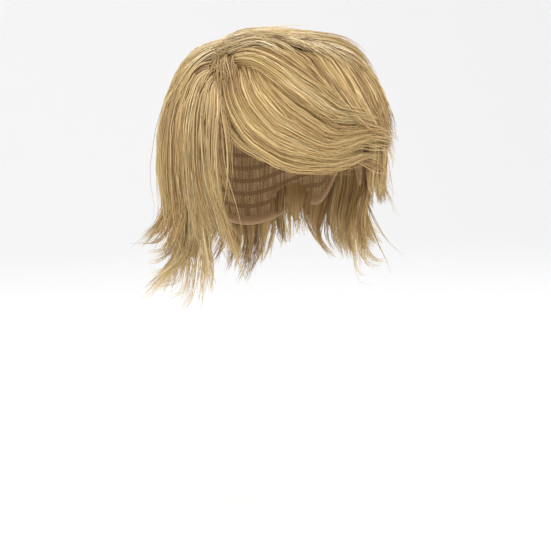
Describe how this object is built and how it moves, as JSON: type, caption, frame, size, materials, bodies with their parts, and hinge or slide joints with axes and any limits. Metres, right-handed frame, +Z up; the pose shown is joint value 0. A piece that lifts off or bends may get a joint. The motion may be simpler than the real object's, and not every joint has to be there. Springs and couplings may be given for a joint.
{
  "type": "short layered wig",
  "caption": "Short layered wig: a thin open cap under swept, overlapping layers of hair, with a side parting, a long side fringe, full sides and flicked ends.",
  "frame": {"origin": "where the top of the wearer's head touches the inside of the cap", "axes": "+Z up, -Y the way the wearer faces, +X towards the wearer's left"},
  "size_m": [0.2176, 0.2432, 0.2557],
  "materials": {
    "cap": "matt stretch net and sewn weft tape, flesh brown",
    "hair": "synthetic fibre, soft satin sheen, golden blond with darker roots and lighter tips"
  },
  "bodies": {
    "root": {"cap": "cap", "nape_hair": "hair", "right_under_hair": "hair", "left_under_hair": "hair", "back_hair": "hair", "left_side_hair": "hair", "right_side_hair": "hair", "fringe": "hair", "top_sweep": "hair", "crown_hair": "hair"}
  },
  "joints": []
}
